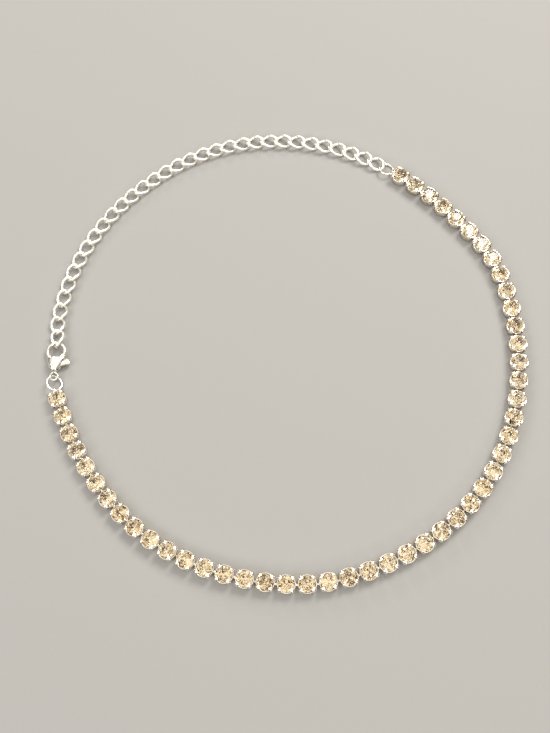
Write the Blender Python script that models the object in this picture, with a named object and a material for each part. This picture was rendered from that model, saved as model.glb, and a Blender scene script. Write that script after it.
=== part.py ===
"""Choker necklace: a closed loop that lies flat, as it rests on a table.

A row of round cut stones in four-claw cups runs round about two thirds of the
loop. A jump ring at each end of the row leads to a lobster clasp and to an
extension chain of twisted links, whose last link is held in the clasp's hook.
All lengths are in metres, +Z is up and the necklace rests on the plane z = 0.
"""

import bmesh
import bpy
from math import acos, asin, atan2, cos, pi, radians, sin
from mathutils import Matrix, Vector

# Row of stones
STONE_COUNT = 48
STONE_DIAMETER = 0.0046
CROWN_HEIGHT = 0.00105
TABLE_SHARE = 0.54
STAR_SHARE = 0.76
CUP_SIDES = 16
CUP_WALL = 0.0002
CUP_GAP = 0.0006
CUP_HEIGHT = 0.00245
GIRDLE_RISE = 0.0001
MERGE_DISTANCE = 0.000002
CLAW_RISE = 0.00080
CLAW_LEAN = 0.00045
CLAW_TAPER = 0.72
BRIDGE_WIDTH = 0.0007
BRIDGE_HEIGHT = 0.0009
BRIDGE_FLOOR = 0.0003
BRIDGE_INSET = 0.00007
STRAND_GAP = 0.00012

# Jump rings, and the staples on the end cups that they pass through
RING_DIAMETER = 0.0050
RING_WIRE = 0.0006
RING_GAP = 0.00008
RING_STEPS = 16
CHAIN_RING_TILT_DEG = -18.0
STAPLE_WIRE = 0.0004
STAPLE_SINK = 0.00025
RING_SIDES = 6

# Extension chain
LINK_COUNT = 32
LINK_LENGTH = 0.00585
LINK_WIDTH = 0.0046
LINK_WIRE = 0.00085
LINK_TWIST_DEG = 45.0
LINK_FUSE = 0.00008
LINK_STEPS = 12
LINK_SIDES = 5
CLIMB_LINKS = 3

# Lobster clasp: lengths along it start at the centre of its eye
CLASP_THICKNESS = 0.0030
EYE_RADIUS = 0.00115
EYE_WIRE = 0.0005
HOOK_CENTRE = 0.00775
HOOK_WIDTH = 0.00605
HOOK_HEIGHT = 0.0062
HOOK_WIRE = 0.00105
HOOK_DEPTH = 0.00115
HOOK_GAP = 0.00013
HOOK_STEPS = 14
HOOK_SIDES = 8
HOLE_STEPS = 24
HOOK_ROOT_DEG = -58.0
SLOT_GAP = 0.00015
SLOT_START = 0.0018
SLOT_SHOULDER_X = 0.0010
SLOT_TOP_X = 0.0006
SHOULDER = 0.00495
CHEEK_TOP = 0.0053
LEVER_THICKNESS = 0.00106
LEVER_HUB = 0.00105
PIVOT_X = -0.0007
PIVOT_Y = 0.0033
PIN_DIAMETER = 0.0008
PIN_GAP = 0.0001
PIN_LENGTH = 0.00276
PIN_SIDES = 12
TAB_TIP_X = 0.00445
TAB_FLOOR_Y = 0.00385
TAB_LENGTH = 0.0017
TAB_HEIGHT = 0.0016
GATE_ANGLES_DEG = (165, 177, 189, 201, 213, 225)
HUB_ANGLES_DEG = (170, 198, 226, 254, 282, 310)
SEAM_GAP = 0.00012
SEAM_SLOPE_DEG = 42.0
BODY_SIDES = 12

# Sections of the clasp's body: place as a share of the way from the eye's wire
# to the hook's hole, half width as a share of the hook's width, and half
# thickness as a share of the clasp's
BODY_SECTIONS = [
    {"along": -0.02, "half_width": 0.080, "half_thickness": 0.14},
    {"along": 0.080, "half_width": 0.125, "half_thickness": 0.27},
    {"along": 0.165, "half_width": 0.180, "half_thickness": 0.38},
    {"along": 0.320, "half_width": 0.270, "half_thickness": 0.47},
    {"along": 0.540, "half_width": 0.350, "half_thickness": 0.50},
    {"along": 0.780, "half_width": 0.415, "half_thickness": 0.50},
    {"along": 0.955, "half_width": 0.455, "half_thickness": 0.43},
    {"along": 1.090, "half_width": 0.480, "half_thickness": 0.33},
]

# Outline of the lever's thumb tab, from its underside round its tip to the top of its
# root: way in from the tip as a share of its length, and level as a share of its height
TAB_OUTLINE = [
    {"inward": 0.56, "level": 0.0},
    {"inward": 0.03, "level": 0.125},
    {"inward": 0.0, "level": 0.28},
    {"inward": 0.12, "level": 0.625},
    {"inward": 0.41, "level": 0.94},
    {"inward": 0.76, "level": 1.0},
    {"inward": 1.0, "level": 0.56},
]

# The loop's outline from above: degrees anticlockwise from +X, and the radius there
# as a share of the mean radius. The row of stones starts at START_DEG.
ROUTE = [
    (0, 0.992), (15, 0.995), (30, 0.971), (45, 0.970), (60, 0.991),
    (75, 1.010), (90, 1.023), (105, 1.026), (120, 1.018), (135, 1.012),
    (150, 1.004), (165, 0.993), (172, 0.982), (180, 0.993), (195, 0.977),
    (210, 0.975), (225, 0.987), (240, 0.994), (255, 1.001), (270, 1.014),
    (285, 1.015), (300, 1.018), (315, 1.019), (330, 1.009), (345, 0.996),
]
START_DEG = 48.9
ROUTE_STEPS = 1440

# Worked out from the sizes above
STONE_RADIUS = STONE_DIAMETER / 2
CUP_RADIUS = STONE_RADIUS + CUP_WALL
STONE_PITCH = 2 * CUP_RADIUS + CUP_GAP
GIRDLE_LEVEL = CUP_HEIGHT + GIRDLE_RISE
RING_RADIUS = (RING_DIAMETER - RING_WIRE) / 2
LINK_HALF_LENGTH = (LINK_LENGTH - LINK_WIRE) / 2
LINK_HALF_WIDTH = (LINK_WIDTH - LINK_WIRE) / 2
LINK_CONTACT = LINK_WIRE * cos(pi / LINK_SIDES) - LINK_FUSE
LINK_PITCH = 2 * LINK_HALF_LENGTH - LINK_CONTACT
HOOK_HALF_WIDTH = (HOOK_WIDTH - HOOK_WIRE) / 2
HOOK_HALF_HEIGHT = (HOOK_HEIGHT - HOOK_WIRE) / 2
HOOK_TOP = HOOK_CENTRE + HOOK_HALF_HEIGHT
SLOT_HALF = LEVER_THICKNESS / 2 + SLOT_GAP
CUTTER_REACH = HOOK_WIDTH

# The clasp's jump ring leans just far enough to clear the wire of the eye
CLASP_RING_TILT = asin(min(1.0, ((EYE_WIRE + RING_WIRE) / 2 + RING_GAP) / EYE_RADIUS))
CHAIN_RING_TILT = radians(CHAIN_RING_TILT_DEG)

# The last link is hooked over the clasp, and rolls until its sides clear the hook
HOOKED_REACH = LINK_HALF_LENGTH - (LINK_WIRE + HOOK_WIRE) / 2 - HOOK_GAP
HOOKED_TURN = acos(HOOKED_REACH / LINK_HALF_LENGTH)
HOOKED_LEAN = asin(min(1.0, (
    ((LINK_WIRE + HOOK_DEPTH) / 2 + HOOK_GAP) / (LINK_HALF_WIDTH * sin(HOOKED_TURN))
)))
LAST_LINK_ROLL = radians(LINK_TWIST_DEG) * cos(HOOKED_TURN) - HOOKED_LEAN


def link_point(turn, roll):
    """Point of a link's centre line: an ellipse twisted about its length."""
    lean = roll + radians(LINK_TWIST_DEG) * cos(turn)
    side = LINK_HALF_WIDTH * sin(turn)
    return Vector((LINK_HALF_LENGTH * cos(turn), side * cos(lean), side * sin(lean)))


def link_level(roll):
    """Height of a link's centre when the link lies on the table."""
    turns = [2 * pi * step / LINK_STEPS for step in range(LINK_STEPS)]
    return LINK_WIRE / 2 - min(link_point(turn, roll).z for turn in turns)


def ring_level(tilt):
    """Height of a tilted jump ring's centre when the ring touches the table."""
    return RING_RADIUS * abs(sin(tilt)) + RING_WIRE / 2


CLASP_LEVEL = max(CLASP_THICKNESS / 2, ring_level(CLASP_RING_TILT), link_level(LAST_LINK_ROLL))
CHAIN_RING_LEVEL = ring_level(CHAIN_RING_TILT)
LINK_LEVEL = link_level(0.0)

# Places along the loop, measured clockwise from the first stone
CUP_TO_RING = CUP_RADIUS + RING_GAP + RING_WIRE / 2 + RING_RADIUS
LAST_STONE_MARK = (STONE_COUNT - 1) * STONE_PITCH
CLASP_RING_MARK = LAST_STONE_MARK + CUP_TO_RING
EYE_MARK = CLASP_RING_MARK + RING_RADIUS
LAST_LINK_MARK = EYE_MARK + HOOK_TOP + HOOKED_REACH
FIRST_LINK_MARK = LAST_LINK_MARK + (LINK_COUNT - 1) * LINK_PITCH
LINK_TO_RING = LINK_HALF_LENGTH - (LINK_WIRE + RING_WIRE) / 2 - RING_GAP + RING_RADIUS
CHAIN_RING_MARK = FIRST_LINK_MARK + LINK_TO_RING
LOOP_LENGTH = CHAIN_RING_MARK + CUP_TO_RING


class Route:
    """The loop's outline, followed clockwise by length from the first stone."""

    def __init__(self, length):
        turns = [2 * pi * step / ROUTE_STEPS for step in range(ROUTE_STEPS + 1)]
        shape = [self.shape_point(radians(START_DEG) - turn) for turn in turns]
        steps = [(b - a).length for a, b in zip(shape, shape[1:])]
        scale = length / sum(steps)
        self.length = length
        self.points = [point * scale for point in shape]
        self.marks = [0.0]
        for step in steps:
            self.marks.append(self.marks[-1] + step * scale)

    @staticmethod
    def shape_point(angle):
        """Point at an angle, on a smooth curve through the chosen shares."""
        turns = [
            (radians(degrees) + 2 * pi * lap, share) for lap in (-1, 0, 1) for degrees, share in ROUTE
        ]
        around = angle % (2 * pi)
        first = max(number for number, (turn, _) in enumerate(turns) if turn <= around)
        (t0, p0), (t1, p1), (t2, p2), (t3, p3) = turns[first - 1:first + 3]
        width = t2 - t1
        part = (around - t1) / width
        slope_1 = (p2 - p0) / (t2 - t0) * width
        slope_2 = (p3 - p1) / (t3 - t1) * width
        share = (
            p1 * (2 * part ** 3 - 3 * part ** 2 + 1)
            + slope_1 * (part ** 3 - 2 * part ** 2 + part)
            + p2 * (3 * part ** 2 - 2 * part ** 3)
            + slope_2 * (part ** 3 - part ** 2)
        )
        return Vector((share * cos(angle), share * sin(angle)))

    def point(self, mark):
        """Point of the outline at a length from the first stone."""
        mark %= self.length
        low = 0
        high = len(self.marks) - 1
        while high - low > 1:
            middle = (low + high) // 2
            if self.marks[middle] <= mark:
                low = middle
            else:
                high = middle
        part = (mark - self.marks[low]) / (self.marks[high] - self.marks[low])
        return self.points[low].lerp(self.points[high], part)

    def place(self, start, end, level, climb=0.0):
        """Frame midway between two marks: X along the loop, Z up."""
        behind = self.point(start)
        ahead = self.point(end)
        centre = self.point((start + end) / 2)
        heading = atan2(ahead.y - behind.y, ahead.x - behind.x)
        frame = Matrix.Translation((centre.x, centre.y, level)) @ Matrix.Rotation(heading, 4, "Z")
        return frame @ Matrix.Rotation(-atan2(climb, end - start), 4, "Y")


def clear_scene():
    """Remove whatever the file holds."""
    for thing in list(bpy.data.objects):
        bpy.data.objects.remove(thing, do_unlink=True)


def finish(name, colour, roughness):
    """Polished metal, or stones with mirrored backs, as a Principled material."""
    material = bpy.data.materials.new(name)
    material.use_nodes = True
    shader = material.node_tree.nodes["Principled BSDF"]
    shader.inputs["Base Color"].default_value = colour
    shader.inputs["Metallic"].default_value = 1.0
    shader.inputs["Roughness"].default_value = roughness
    material.diffuse_color = colour
    return material


def piece_from(name, bm, material=None, place=None):
    """Turn a bmesh into a named object, put where it belongs."""
    bmesh.ops.recalc_face_normals(bm, faces=bm.faces)
    mesh = bpy.data.meshes.new(name)
    bm.to_mesh(mesh)
    bm.free()
    if material:
        mesh.materials.append(material)
    piece = bpy.data.objects.new(name, mesh)
    if place:
        piece.matrix_world = place
    bpy.context.scene.collection.objects.link(piece)
    return piece


def combine(piece, operation, *others):
    """Join guide shapes to a piece, or cut it with them."""
    for other in others:
        other.hide_render = True
        other.display_type = "WIRE"
        step = piece.modifiers.new(other.name, "BOOLEAN")
        step.operation = operation
        step.solver = "EXACT"
        step.object = other


def circle_edges(made):
    """Edges of a circle that has just been made."""
    rim = set(made["verts"])
    return list({edge for vert in rim for edge in vert.link_edges if edge.other_vert(vert) in rim})


def skin(bm, frames, sides, closed):
    """Skin over circles of radius one, one in the YZ plane of each frame."""
    upright = Matrix.Rotation(pi / 2, 4, "Y")
    loops = []
    for number, frame in enumerate(frames):
        ends = not closed and number in (0, len(frames) - 1)
        made = bmesh.ops.create_circle(
            bm, cap_ends=ends, segments=sides, radius=1.0, matrix=frame @ upright
        )
        loops.append(circle_edges(made))
    pairs = list(zip(loops, loops[1:]))
    if closed:
        pairs.append((loops[-1], loops[0]))
    for first, second in pairs:
        bmesh.ops.bridge_loops(bm, edges=first + second)
    return loops


def frames_along(points, closed, half_width, half_depth):
    """Frames on a line of points: X along it, scaled to a wire's half sizes in Y and Z."""
    frames = []
    count = len(points)
    for number, point in enumerate(points):
        if closed:
            ahead = points[(number + 1) % count]
            behind = points[number - 1]
        else:
            ahead = points[min(number + 1, count - 1)]
            behind = points[max(number - 1, 0)]
        x_axis = (ahead - behind).normalized()
        y_axis = Vector((0, 0, 1)).cross(x_axis).normalized()
        z_axis = x_axis.cross(y_axis)
        frame = Matrix((x_axis, y_axis, z_axis)).transposed().to_4x4()
        frame.translation = point
        frames.append(frame @ Matrix.Diagonal((1, half_width, half_depth, 1)))
    return frames


def wire_loop(bm, points, wire, sides, place):
    """Closed round wire through a list of points."""
    frames = frames_along(points, True, wire / 2, wire / 2)
    skin(bm, [place @ frame for frame in frames], sides, True)


def round_loop(name, radius, wire, place, material=None):
    """Round wire ring, level in its own frame."""
    turns = [2 * pi * step / RING_STEPS for step in range(RING_STEPS)]
    points = [Vector((radius * cos(turn), radius * sin(turn), 0)) for turn in turns]
    bm = bmesh.new()
    wire_loop(bm, points, wire, RING_SIDES, Matrix())
    return piece_from(name, bm, material, place)


def crown_mesh():
    """Upper part of a round cut stone: table, eight stars, eight kites, girdle facets."""
    table = STONE_RADIUS * TABLE_SHARE
    star = STONE_RADIUS * STAR_SHARE
    star_rise = CROWN_HEIGHT * (STONE_RADIUS - star * cos(pi / 8)) / (STONE_RADIUS - table)
    rows = [
        (table, CROWN_HEIGHT, 8, 0.0),
        (star, star_rise, 8, 0.5),
        (STONE_RADIUS, 0.0, CUP_SIDES, 0.0),
    ]
    bm = bmesh.new()
    for radius, rise, count, shift in rows:
        for number in range(count):
            angle = 2 * pi * (number + shift) / count
            bm.verts.new((radius * cos(angle), radius * sin(angle), GIRDLE_LEVEL + rise))
    bmesh.ops.convex_hull(bm, input=bm.verts)
    bm.normal_update()
    under = [face for face in bm.faces if face.normal.z < -0.5]
    bmesh.ops.delete(bm, geom=under, context="FACES")
    bmesh.ops.rotate(bm, verts=bm.verts, matrix=Matrix.Rotation(pi / CUP_SIDES, 3, "Z"))
    mesh = bpy.data.meshes.new("crown")
    bm.to_mesh(mesh)
    bm.free()
    return mesh


def nearest_face(faces, point):
    """Face whose centre lies nearest to a point."""
    return min(faces, key=lambda face: (face.calc_center_median() - point).length)


def raise_claw(bm, ledge, angle):
    """Draw one claw out of the ledge round the stone and lean it in over the crown."""
    outward = Vector((cos(angle), sin(angle), 0))
    sideways = Vector((-sin(angle), cos(angle), 0))
    seat = nearest_face(ledge, outward * CUP_RADIUS + Vector((0, 0, CUP_HEIGHT)))
    tip = bmesh.ops.extrude_discrete_faces(bm, faces=[seat])["faces"][0]
    for vert in tip.verts:
        vert.co += sideways * vert.co.dot(sideways) * (CLAW_TAPER - 1)
        vert.co += Vector((0, 0, CLAW_RISE)) - outward * CLAW_LEAN


def cup_mesh():
    """One cup with its claws and its stone, and a small flat on each side for a bridge."""
    crown = crown_mesh()
    bm = bmesh.new()
    turned = Matrix.Rotation(pi / CUP_SIDES, 4, "Z")
    corner = CUP_RADIUS / cos(pi / CUP_SIDES)
    loops = []
    for radius, level in ((corner, 0.0), (corner, CUP_HEIGHT), (STONE_RADIUS, GIRDLE_LEVEL)):
        made = bmesh.ops.create_circle(
            bm, cap_ends=level == 0.0, segments=CUP_SIDES, radius=radius,
            matrix=Matrix.Translation((0, 0, level)) @ turned,
        )
        loops.append(circle_edges(made))
    wall = bmesh.ops.bridge_loops(bm, edges=loops[0] + loops[1])["faces"]
    ledge = bmesh.ops.bridge_loops(bm, edges=loops[1] + loops[2])["faces"]
    bm.from_mesh(crown)
    bmesh.ops.remove_doubles(bm, verts=bm.verts, dist=MERGE_DISTANCE)
    bmesh.ops.recalc_face_normals(bm, faces=bm.faces)
    for quarter in range(4):
        raise_claw(bm, [face for face in ledge if face.is_valid], pi / 4 + quarter * pi / 2)
    for side in (1, -1):
        flat = nearest_face(wall, Vector((side * CUP_RADIUS, 0, CUP_HEIGHT / 2)))
        bmesh.ops.inset_individual(bm, faces=[flat], thickness=BRIDGE_INSET)
        for vert in flat.verts:
            upper = vert.co.z > CUP_HEIGHT / 2
            vert.co.y = BRIDGE_WIDTH / 2 * (1 if vert.co.y > 0 else -1)
            vert.co.z = BRIDGE_FLOOR + (BRIDGE_HEIGHT if upper else 0.0)
    mesh = bpy.data.meshes.new("cup")
    bm.to_mesh(mesh)
    bm.free()
    bpy.data.meshes.remove(crown)
    return mesh


def staple(name, place, side, level, tilt):
    """Wire staple on an end cup, just clear of a jump ring that leans by a tilt."""
    reach = CUP_RADIUS + 2 * RING_GAP + RING_WIRE + STAPLE_WIRE / 2
    half = ((RING_WIRE + STAPLE_WIRE) / 2 + RING_GAP) / cos(tilt)
    bend = half / 2
    ease = bend * (1 - cos(pi / 4))
    root = CUP_RADIUS - STAPLE_SINK
    profile = [(root, -half), (reach - bend, -half), (reach - ease, -half + ease), (reach, -half + bend)]
    profile += [(x, -z) for x, z in reversed(profile)]
    points = [Vector((side * x, 0, level + z)) for x, z in profile]
    bm = bmesh.new()
    frames = []
    for number, point in enumerate(points):
        ahead = points[min(number + 1, len(points) - 1)]
        behind = points[max(number - 1, 0)]
        x_axis = (ahead - behind).normalized()
        y_axis = Vector((0, 1, 0))
        frame = Matrix((x_axis, y_axis, x_axis.cross(y_axis))).transposed().to_4x4()
        frame.translation = point
        frames.append(place @ frame @ Matrix.Diagonal((1, STAPLE_WIRE / 2, STAPLE_WIRE / 2, 1)))
    skin(bm, frames, RING_SIDES, False)
    return piece_from(name, bm)


def strand(name, cup, places, join_ahead, material):
    """Set stones soldered side by side, with a stub where the next strand meets this one."""
    bm = bmesh.new()
    sides = []
    centre = Vector((CUP_RADIUS, 0, BRIDGE_FLOOR + BRIDGE_HEIGHT / 2))
    for place in places:
        before = len(bm.verts)
        bm.from_mesh(cup)
        bm.verts.ensure_lookup_table()
        fresh = bm.verts[before:]
        bmesh.ops.transform(bm, matrix=place, verts=fresh)
        faces = list({face for vert in fresh for face in vert.link_faces})
        ahead = nearest_face(faces, place @ centre)
        behind = nearest_face(faces, place @ Vector((-centre.x, centre.y, centre.z)))
        sides.append((behind, ahead))
    stub_place, stub = (places[-1], sides[-1][1]) if join_ahead else (places[0], sides[0][0])
    move = (CUP_GAP - STRAND_GAP) / 2 * (1 if join_ahead else -1)
    drawn = bmesh.ops.extrude_discrete_faces(bm, faces=[stub])["faces"][0]
    bmesh.ops.translate(bm, verts=drawn.verts, vec=stub_place.to_3x3() @ Vector((move, 0, 0)))
    for (_, ahead), (behind, _) in zip(sides, sides[1:]):
        edges = list(ahead.edges) + list(behind.edges)
        bmesh.ops.delete(bm, geom=[ahead, behind], context="FACES_ONLY")
        bmesh.ops.bridge_loops(bm, edges=edges)
    return piece_from(name, bm, material)


def build_strands(route, material):
    """The row of stones, as two strands that meet in the middle of the row."""
    cup = cup_mesh()
    marks = [number * STONE_PITCH for number in range(STONE_COUNT)]
    places = [route.place(mark - CUP_RADIUS, mark + CUP_RADIUS, 0.0) for mark in marks]
    half = STONE_COUNT // 2
    right = strand("crystal_strand_right", cup, places[:half], True, material)
    left = strand("crystal_strand_left", cup, places[half:], False, material)
    bpy.data.meshes.remove(cup)
    combine(right, "UNION", staple(
        "chain_side_staple", places[0], -1, CHAIN_RING_LEVEL, CHAIN_RING_TILT
    ))
    combine(left, "UNION", staple(
        "clasp_side_staple", places[-1], 1, CLASP_LEVEL, CLASP_RING_TILT
    ))
    return right, left


def build_jump_ring(name, route, mark, level, tilt, material):
    """Round wire ring that leans to one side about the line of the loop."""
    place = route.place(mark - RING_RADIUS, mark + RING_RADIUS, level)
    return round_loop(name, RING_RADIUS, RING_WIRE, place @ Matrix.Rotation(tilt, 4, "X"), material)


def build_chain(route, clasp_place, material):
    """Links from the clasp's hook to the jump ring, every other one in each half."""
    rise = CLASP_LEVEL - LINK_LEVEL
    hooked = clasp_place @ Matrix.Translation((0, HOOK_TOP + HOOKED_REACH, 0))
    levels = [
        LINK_LEVEL + rise * max(0.0, 1 - number / CLIMB_LINKS) ** 2 for number in range(LINK_COUNT)
    ]
    halves = [bmesh.new(), bmesh.new()]
    for number in range(LINK_COUNT):
        mark = LAST_LINK_MARK + number * LINK_PITCH
        climb = levels[min(number + 1, LINK_COUNT - 1)] - levels[number]
        place = route.place(mark - LINK_PITCH / 2, mark + LINK_PITCH / 2, levels[number], climb)
        roll = 0.0
        if number == 0:
            place = hooked @ Matrix.Rotation(pi / 2, 4, "Z")
            roll = LAST_LINK_ROLL
        turns = [2 * pi * step / LINK_STEPS for step in range(LINK_STEPS)]
        points = [link_point(turn, roll) for turn in turns]
        wire_loop(halves[number % 2], points, LINK_WIRE, LINK_SIDES, place)
    chain = piece_from("extension_chain", halves[0], material)
    combine(chain, "UNION", piece_from("every_other_link", halves[1]))
    return chain


def hook_point(angle, inset=0.0):
    """Point of the hook's oval in the clasp's own frame, moved in from its centre line."""
    return Vector((
        (HOOK_HALF_WIDTH - inset) * cos(angle),
        HOOK_CENTRE + (HOOK_HALF_HEIGHT - inset) * sin(angle),
        0.0,
    ))


def plate(name, outline, half_thickness, place, material=None, cut=None):
    """Flat plate with an outline, level in the middle of the clasp."""
    bm = bmesh.new()
    face = bm.faces.new([bm.verts.new((x, y, -half_thickness)) for x, y in outline])
    solid = bmesh.ops.extrude_face_region(bm, geom=[face], use_keep_orig=True)
    top = [item for item in solid["geom"] if isinstance(item, bmesh.types.BMVert)]
    bmesh.ops.translate(bm, verts=top, vec=(0, 0, 2 * half_thickness))
    if cut:
        cut(bm)
    return piece_from(name, bm, material, place)


def seam(side):
    """Point and normal of the slanted seam's face on the hook's side, 1, or the lever's, -1."""
    slope = radians(SEAM_SLOPE_DEG)
    normal = Vector((-sin(slope), cos(slope), 0))
    return hook_point(pi) + normal * side * SEAM_GAP / 2, normal


def cut_at_seam(bm):
    """Cut the lever's gate off where it meets the hook's tip."""
    point, normal = seam(-1)
    cut = bmesh.ops.bisect_plane(
        bm, geom=bm.verts[:] + bm.edges[:] + bm.faces[:],
        plane_co=point, plane_no=normal, clear_outer=True,
    )
    edges = [item for item in cut["geom_cut"] if isinstance(item, bmesh.types.BMEdge)]
    bmesh.ops.holes_fill(bm, edges=edges, sides=0)


def body_shell(place, material):
    """Body of the clasp, skinned over its sections."""
    hole_start = HOOK_CENTRE - HOOK_HALF_HEIGHT + HOOK_WIRE / 2
    frames = []
    for section in BODY_SECTIONS:
        along = EYE_RADIUS + section["along"] * (hole_start - EYE_RADIUS)
        size = Matrix.Diagonal((
            1, HOOK_WIDTH * section["half_width"], CLASP_THICKNESS * section["half_thickness"], 1
        ))
        facing = Matrix.Rotation(pi / 2, 4, "Z")
        frames.append(Matrix.Translation((0, along, 0)) @ facing @ size)
    bm = bmesh.new()
    skin(bm, frames, BODY_SIDES, False)
    return piece_from("clasp_body", bm, material, place)


def hook_arm(place):
    """Curved arm of the hook, from inside the body's shoulder round to its tip."""
    start = radians(HOOK_ROOT_DEG)
    angles = [start + (pi - start) * step / HOOK_STEPS for step in range(HOOK_STEPS + 1)]
    bm = bmesh.new()
    points = [hook_point(angle) for angle in angles]
    loops = skin(bm, frames_along(points, False, HOOK_WIRE / 2, HOOK_DEPTH / 2), HOOK_SIDES, False)
    point, normal = seam(1)
    for vert in {vert for edge in loops[-1] for vert in edge.verts}:
        vert.co.y += (point - vert.co).dot(normal) / normal.y
    return piece_from("hook_arm", bm, place=place)


def post(name, diameter, length, place):
    """Round post on the lever's pivot."""
    bm = bmesh.new()
    bmesh.ops.create_cone(
        bm, cap_ends=True, segments=PIN_SIDES, radius1=diameter / 2, radius2=diameter / 2,
        depth=length,
    )
    return piece_from(name, bm, place=place @ Matrix.Translation((PIVOT_X, PIVOT_Y, 0)))


def place_clasp(route):
    """Frame of the clasp: origin in its eye, Y along it to the hook, Z up."""
    span = route.place(EYE_MARK, EYE_MARK + HOOK_TOP, CLASP_LEVEL)
    eye = route.point(EYE_MARK)
    facing = span.to_3x3().to_4x4() @ Matrix.Rotation(-pi / 2, 4, "Z")
    return Matrix.Translation((eye.x, eye.y, CLASP_LEVEL)) @ facing


def build_clasp_body(place, material):
    """Eye, slotted body, hook and pivot pin of the clasp in one solid."""
    body = body_shell(place, material)
    far = CUTTER_REACH
    slot = [
        (-far, SLOT_START), (far, SLOT_START), (far, SHOULDER), (SLOT_SHOULDER_X, SHOULDER),
        (SLOT_TOP_X, HOOK_CENTRE), (-far, HOOK_CENTRE),
    ]
    cheek = [(-far, CHEEK_TOP), (0.0, CHEEK_TOP), (0.0, HOOK_CENTRE), (-far, HOOK_CENTRE)]
    angles = [2 * pi * step / HOLE_STEPS for step in range(HOLE_STEPS)]
    hole = [tuple(hook_point(angle, HOOK_WIRE / 2).xy) for angle in angles]
    combine(
        body, "DIFFERENCE",
        plate("lever_slot", slot, SLOT_HALF, place),
        plate("lever_side", cheek, CLASP_THICKNESS, place),
        plate("hook_hole", hole, CLASP_THICKNESS, place),
    )
    combine(
        body, "UNION",
        hook_arm(place),
        round_loop("eye_ring", EYE_RADIUS, EYE_WIRE, place),
        post("pivot_pin", PIN_DIAMETER, PIN_LENGTH, place),
    )
    return body


def lever_outline():
    """Outline of the lever: gate arm on the left, hub on the pivot, thumb tab on the right."""
    outer = [tuple(hook_point(radians(angle), -HOOK_WIRE / 2).xy) for angle in GATE_ANGLES_DEG]
    inner = [tuple(hook_point(radians(angle), HOOK_WIRE / 2).xy) for angle in GATE_ANGLES_DEG]
    hub = [
        (PIVOT_X + LEVER_HUB * cos(angle), PIVOT_Y + LEVER_HUB * sin(angle))
        for angle in [radians(degrees) for degrees in HUB_ANGLES_DEG]
    ]
    tab = [
        (TAB_TIP_X - corner["inward"] * TAB_LENGTH, TAB_FLOOR_Y + corner["level"] * TAB_HEIGHT)
        for corner in TAB_OUTLINE
    ]
    crook = (PIVOT_X + LEVER_HUB * cos(pi / 3), PIVOT_Y + LEVER_HUB * sin(pi / 3))
    return outer + hub + tab + [crook] + inner[::-1]


def build_clasp_lever(place, material):
    """Lever of the clasp, with its origin on the pivot pin and a running hole there."""
    lever = plate(
        "clasp_lever", lever_outline(), LEVER_THICKNESS / 2, place, material, cut=cut_at_seam
    )
    pivot = Matrix.Translation((PIVOT_X, PIVOT_Y, 0))
    lever.data.transform(pivot.inverted())
    lever.matrix_world = place @ pivot
    combine(lever, "DIFFERENCE", post(
        "pivot_hole", PIN_DIAMETER + 2 * PIN_GAP, 2 * LEVER_THICKNESS, place
    ))
    return lever


def settle(pieces):
    """Hang every piece on an empty that brings the loop's middle over the origin."""
    bpy.context.view_layer.update()
    depsgraph = bpy.context.evaluated_depsgraph_get()
    corners = []
    for piece in pieces:
        shape = piece.evaluated_get(depsgraph)
        corners += [shape.matrix_world @ vert.co for vert in shape.data.vertices]
    middle_x = (min(c.x for c in corners) + max(c.x for c in corners)) / 2
    middle_y = (min(c.y for c in corners) + max(c.y for c in corners)) / 2
    base = bpy.data.objects.new("necklace", None)
    bpy.context.scene.collection.objects.link(base)
    base.location = (-middle_x, -middle_y, -min(c.z for c in corners))
    for thing in bpy.data.objects:
        if thing is not base:
            thing.parent = base


def main():
    """Build the necklace."""
    clear_scene()
    route = Route(LOOP_LENGTH)
    silver = finish("bright_silver", (0.83, 0.81, 0.77, 1.0), 0.16)
    crystal = finish("set_crystal", (0.78, 0.74, 0.68, 1.0), 0.06)
    strands = build_strands(route, crystal)
    clasp_ring = build_jump_ring(
        "clasp_jump_ring", route, CLASP_RING_MARK, CLASP_LEVEL, CLASP_RING_TILT, silver
    )
    chain_ring = build_jump_ring(
        "chain_jump_ring", route, CHAIN_RING_MARK, CHAIN_RING_LEVEL, CHAIN_RING_TILT, silver
    )
    clasp_place = place_clasp(route)
    chain = build_chain(route, clasp_place, silver)
    body = build_clasp_body(clasp_place, silver)
    lever = build_clasp_lever(clasp_place, silver)
    settle([*strands, clasp_ring, chain_ring, chain, body, lever])


main()
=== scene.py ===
"""Looks of a choker necklace that lies closed on a table.

A row of foil-backed round crystals in four-claw cups, a curb extension chain, a
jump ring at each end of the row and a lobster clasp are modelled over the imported
solids, along the same loop and to the same sizes. Lengths are in metres.
"""

from __future__ import annotations

import logging
import random
from bisect import bisect_right
from dataclasses import dataclass, field
from enum import Enum
from math import acos, asin, atan2, cos, pi, radians, sin
from typing import Iterable, Sequence

import bmesh
import bpy
from mathutils import Matrix, Vector

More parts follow.
